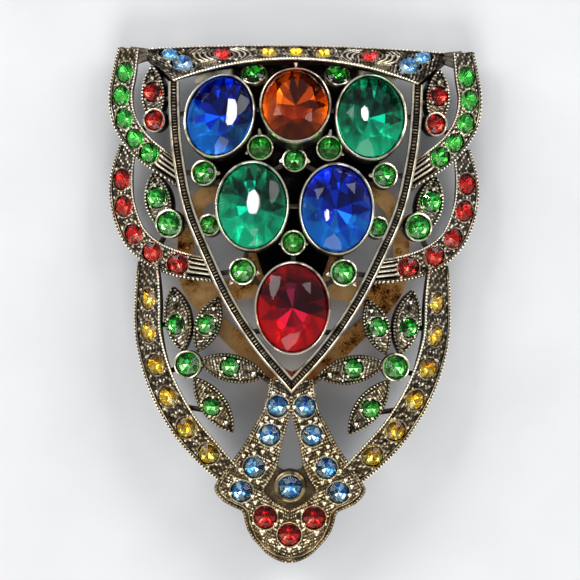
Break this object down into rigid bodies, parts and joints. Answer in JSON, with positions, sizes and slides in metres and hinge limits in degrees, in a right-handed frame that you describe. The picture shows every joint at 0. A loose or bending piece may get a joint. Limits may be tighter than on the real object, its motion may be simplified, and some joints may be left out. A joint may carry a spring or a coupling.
{
  "type": "dress clip",
  "caption": "Shield-shaped dress clip: a domed, pierced metal casting set with coloured cut glass stones, with a hinged, sprung lever behind it that grips the edge of a dress.",
  "frame": {"origin": "on the surface that the clip lies on, under the middle of its bounding box", "axes": "+Z out of the front of the clip, +Y towards the top rim, +X to the right as seen from the front"},
  "size_m": [0.0436, 0.06, 0.0099],
  "materials": {
    "antique_metal": "antiqued casting, nearly black in the recesses and worn bright on the raised edges",
    "lever_brass": "plain stamped brass with a warm brown tarnish",
    "blackened_metal": "blackened, satin",
    "emerald_glass": "cut glass, foiled back",
    "sapphire_glass": "cut glass, foiled back",
    "amber_glass": "cut glass, foiled back",
    "ruby_glass": "cut glass, foiled back",
    "green_glass": "cut glass, foiled back",
    "red_glass": "cut glass, foiled back",
    "yellow_glass": "cut glass, foiled back",
    "pale_blue_glass": "cut glass, foiled back"
  },
  "bodies": {
    "shield": {"shield_casting": "antique_metal", "clip_plate": "blackened_metal", "hinge_pin": "lever_brass", "oval_blue_left": "sapphire_glass", "oval_amber": "amber_glass", "oval_green_right": "emerald_glass", "oval_green_left": "emerald_glass", "oval_blue_right": "sapphire_glass", "oval_ruby": "ruby_glass", "cluster_green_top_left": "green_glass", "cluster_green_top_right": "green_glass", "cluster_green_upper_left": "green_glass", "cluster_green_upper_right": "green_glass", "cluster_green_side_left": "green_glass", "cluster_green_side_right": "green_glass", "cluster_green_rail_left": "green_glass", "cluster_green_rail_right": "green_glass", "cluster_green_lower_left": "green_glass", "cluster_green_lower_right": "green_glass", "lower_bezel_green_left": "green_glass", "lower_bezel_green_right": "green_glass", "sprig_bezel_green_left": "green_glass", "sprig_bezel_green_right": "green_glass", "lower_leaf_green_left": "green_glass", "lower_leaf_green_right": "green_glass", "sprig_green_outer_left": "green_glass", "sprig_green_outer_right": "green_glass", "sprig_green_inner_left": "green_glass", "sprig_green_inner_right": "green_glass", "sprig_green_across_left": "green_glass", "sprig_green_across_right": "green_glass", "sprig_green_lower_left": "green_glass", "sprig_green_lower_right": "green_glass", "cluster_green_middle": "green_glass", "cluster_green_low": "green_glass", "upper_bezel_red_left": "red_glass", "upper_bezel_red_right": "red_glass", "upper_leaf_red_left": "red_glass", "upper_leaf_red_right": "red_glass", "lobe_red_left": "red_glass", "lobe_red_tip": "red_glass", "lobe_red_right": "red_glass", "top_reds": "red_glass", "fan_bezel_blue": "pale_blue_glass", "fan_blues": "pale_blue_glass", "top_blues": "pale_blue_glass", "top_yellows": "yellow_glass", "upper_wing_greens_left": "green_glass", "lower_wing_reds_left": "red_glass", "side_yellows_left": "yellow_glass", "upper_wing_greens_right": "green_glass", "lower_wing_reds_right": "red_glass", "side_yellows_right": "yellow_glass"},
    "lever": {"lever": "lever_brass"}
  },
  "joints": [
    {"name": "lever_hinge", "type": "hinge", "parent": "shield", "child": "lever", "pos_m": [0, 0.0246, 0.00165], "axis": [1, 0, 0], "range_deg": [0, 60], "stiffness_Nm_per_rad": 0.03, "springref_deg": -28.65}
  ]
}
